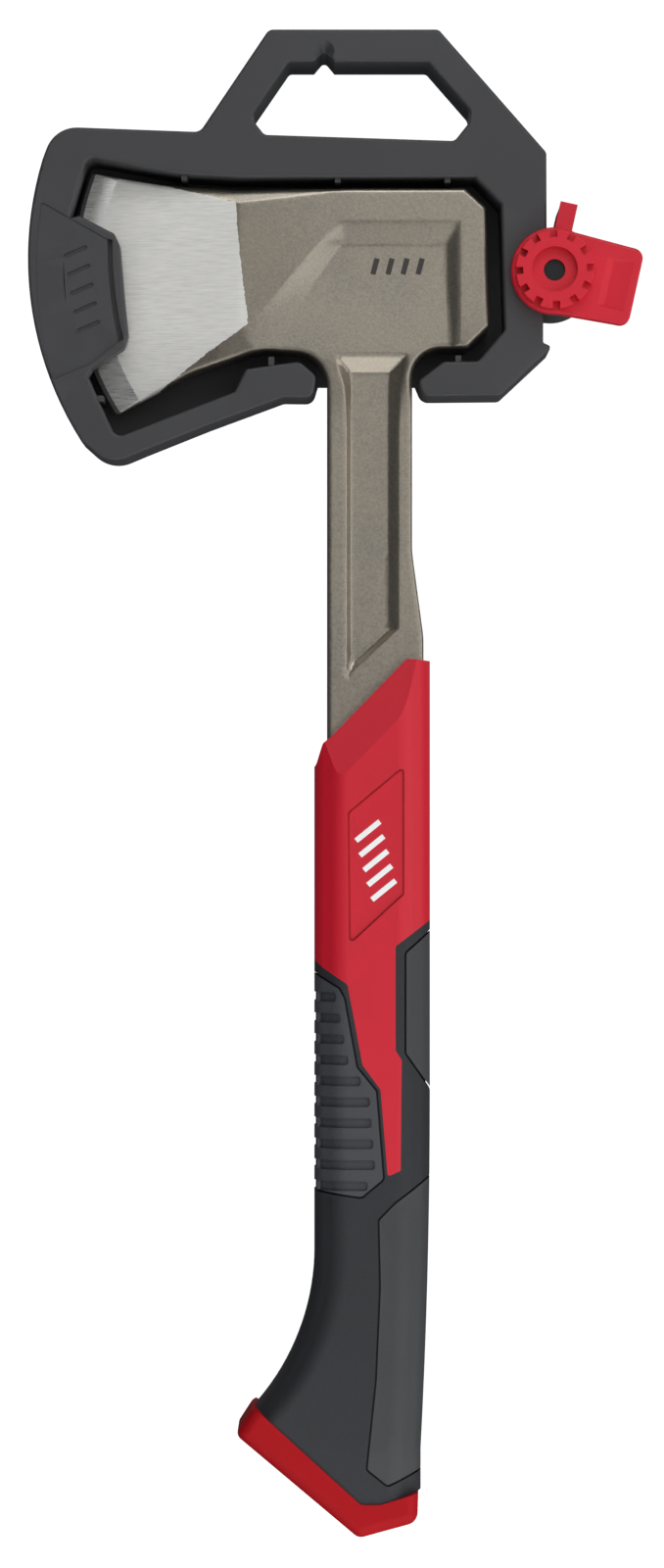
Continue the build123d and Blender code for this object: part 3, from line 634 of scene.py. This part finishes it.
# --- printed marks: plain slanted bars, under a tenth of a millimetre thick ---------------
PRINT = 0.04  # half a bar's thickness
BADGE_Y, POCKET_Y = 12.3, 7.52
BADGE_BARS = [(12.2 + 1.1 * step, -216.4 - 4.1 * step) for step in range(5)]
POCKET_BARS = [(14.2 + 4.2 * step, -58.9) for step in range(4)]


def bars(name, places, size, lean, face_y, finish):
    """Slanted bars centred on (x, z) places in millimetres, on the front and the back face."""
    across = np.array([math.cos(lean), math.sin(lean)]) * size[0] / 2
    up = np.array([-math.sin(lean), math.cos(lean)]) * size[1] / 2
    form = bmesh.new()
    for place in places:
        corners = [place - across - up, place + across - up, place + across + up, place - across + up]
        for y in (-face_y, face_y):
            near, far = [
                [form.verts.new((corner[0] * MM, level * MM, corner[1] * MM)) for corner in corners]
                for level in (y - PRINT, y + PRINT)
            ]
            form.faces.new(near)
            form.faces.new(far[::-1])
            for first in range(4):
                second = (first + 1) % 4
                form.faces.new((far[first], far[second], near[second], near[first]))
    bmesh.ops.recalc_face_normals(form, faces=form.faces)
    mesh = bpy.data.meshes.new(name)
    form.to_mesh(mesh)
    form.free()
    mesh.materials.append(finish.material)
    marks = bpy.data.objects.new(name, mesh)
    scene.collection.objects.link(marks)
    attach(marks, "hatchet")


bars("badge_bars", BADGE_BARS, (8.5, 1.5), math.radians(39), BADGE_Y, white_print)
bars("pocket_bars", POCKET_BARS, (1.5, 4.6), math.radians(-15), POCKET_Y, dark_print)


# --- floor, light and camera, in metres ---------------------------------------------------
FLOOR_Z = -0.62
FLOOR_RINGS = (0.6, 1.8)  # radii of the rings of points on the flat floor
WALL_R, WALL_TOP = 3.6, 3.0
CURVE = 0.8  # radius of the bend from floor to wall


def sweep_section():
    """(radius, z) points of the sweep's section, from the floor out to the wall's top."""
    floor = [(radius, FLOOR_Z) for radius in FLOOR_RINGS]
    bend = [
        (WALL_R - CURVE + CURVE * math.sin(turn), FLOOR_Z + CURVE - CURVE * math.cos(turn))
        for turn in np.linspace(0, math.pi / 2, 13)
    ]
    return [*floor, *bend, (WALL_R, WALL_TOP)]


def sweep():
    """A pale round floor that curves up into a wall on every side and casts no light."""
    around = np.linspace(0, 2 * math.pi, 96, endpoint=False)
    form = bmesh.new()
    rings = [
        [form.verts.new((radius * math.cos(angle), radius * math.sin(angle), z)) for angle in around]
        for radius, z in sweep_section()
    ]
    form.faces.new(rings[0])
    for low, high in zip(rings, rings[1:]):
        for first in range(len(around)):
            second = (first + 1) % len(around)
            form.faces.new((low[first], high[first], high[second], low[second])).smooth = True
    bmesh.ops.recalc_face_normals(form, faces=form.faces)
    bmesh.ops.reverse_faces(form, faces=form.faces)
    mesh = bpy.data.meshes.new("studio_sweep")
    form.to_mesh(mesh)
    form.free()
    paper = Finish("studio_paper")
    grain = paper.noise(9.0, 2.0, 0.5)
    tone = paper.ramp(grain, (0.3, (0.86, 0.86, 0.86, 1)), (0.7, (0.9, 0.9, 0.9, 1)))
    paper.feed("Base Color", tone)
    paper.constant(Roughness=0.9, Emission_Color=(1, 1, 1, 1), Emission_Strength=0.97)
    mesh.materials.append(paper.material)
    backdrop = bpy.data.objects.new("studio_sweep", mesh)
    scene.collection.objects.link(backdrop)
    backdrop.visible_diffuse = False
    backdrop.visible_glossy = False
    backdrop.visible_shadow = False


def soft_box(name, position, target, size, power):
    """A rectangular light at a position, facing a target."""
    light = bpy.data.lights.new(name, "AREA")
    light.shape = "RECTANGLE"
    light.size, light.size_y = size
    light.energy = power
    lamp = bpy.data.objects.new(name, light)
    lamp.location = position
    aim = Vector(target) - Vector(position)
    lamp.rotation_euler = aim.to_track_quat("-Z", "Y").to_euler()
    scene.collection.objects.link(lamp)


def faint_sky(colour, strength):
    """An even, weak light from all round."""
    scene.world = bpy.data.worlds.new("studio")
    scene.world.use_nodes = True
    background = scene.world.node_tree.nodes["Background"]
    background.inputs["Color"].default_value = colour
    background.inputs["Strength"].default_value = strength


def level_camera(position, lens):
    """A camera that looks level along +Y at the part's front."""
    data = bpy.data.cameras.new("camera")
    data.sensor_fit = "VERTICAL"
    data.sensor_height = 24.0
    data.lens = lens
    camera = bpy.data.objects.new("camera", data)
    camera.location = position
    camera.rotation_euler = (math.radians(90), 0, 0)
    scene.collection.objects.link(camera)
    return camera


sweep()
MIDDLE, HEAD = (0.0, 0.0, -0.2), (0.0, 0.0, -0.08)
soft_box("key_front", (0.45, -1.7, 0.45), MIDDLE, (1.7, 1.4), 6.2)
soft_box("low_front", (0.6, -1.15, -0.5), HEAD, (0.9, 0.5), 1.8)
soft_box("left_high", (-0.75, -1.15, 0.45), (-0.05, 0.0, -0.05), (0.45, 0.45), 0.9)
soft_box("right_strip", (0.95, -0.40, -0.15), MIDDLE, (0.5, 1.2), 3.2)
soft_box("top_strip", (0.1, -0.75, 0.75), (0.0, 0.0, -0.1), (1.0, 0.4), 4.5)
soft_box("low_strip", (0.1, -0.15, -0.60), (0.05, 0.0, -0.1), (0.9, 0.25), 1.5)
soft_box("floor_bounce", (0.0, -0.65, -0.58), HEAD, (1.1, 0.5), 0.95)
soft_box("back_right", (0.9, 1.1, 0.5), MIDDLE, (0.7, 0.9), 4.5)
soft_box("back_left", (-0.8, 1.2, 0.6), MIDDLE, (0.6, 0.8), 1.8)
faint_sky((0.9, 0.95, 1.0, 1.0), 0.06)
scene.camera = level_camera((0.0022, -1.320, -0.2033), 72.0)
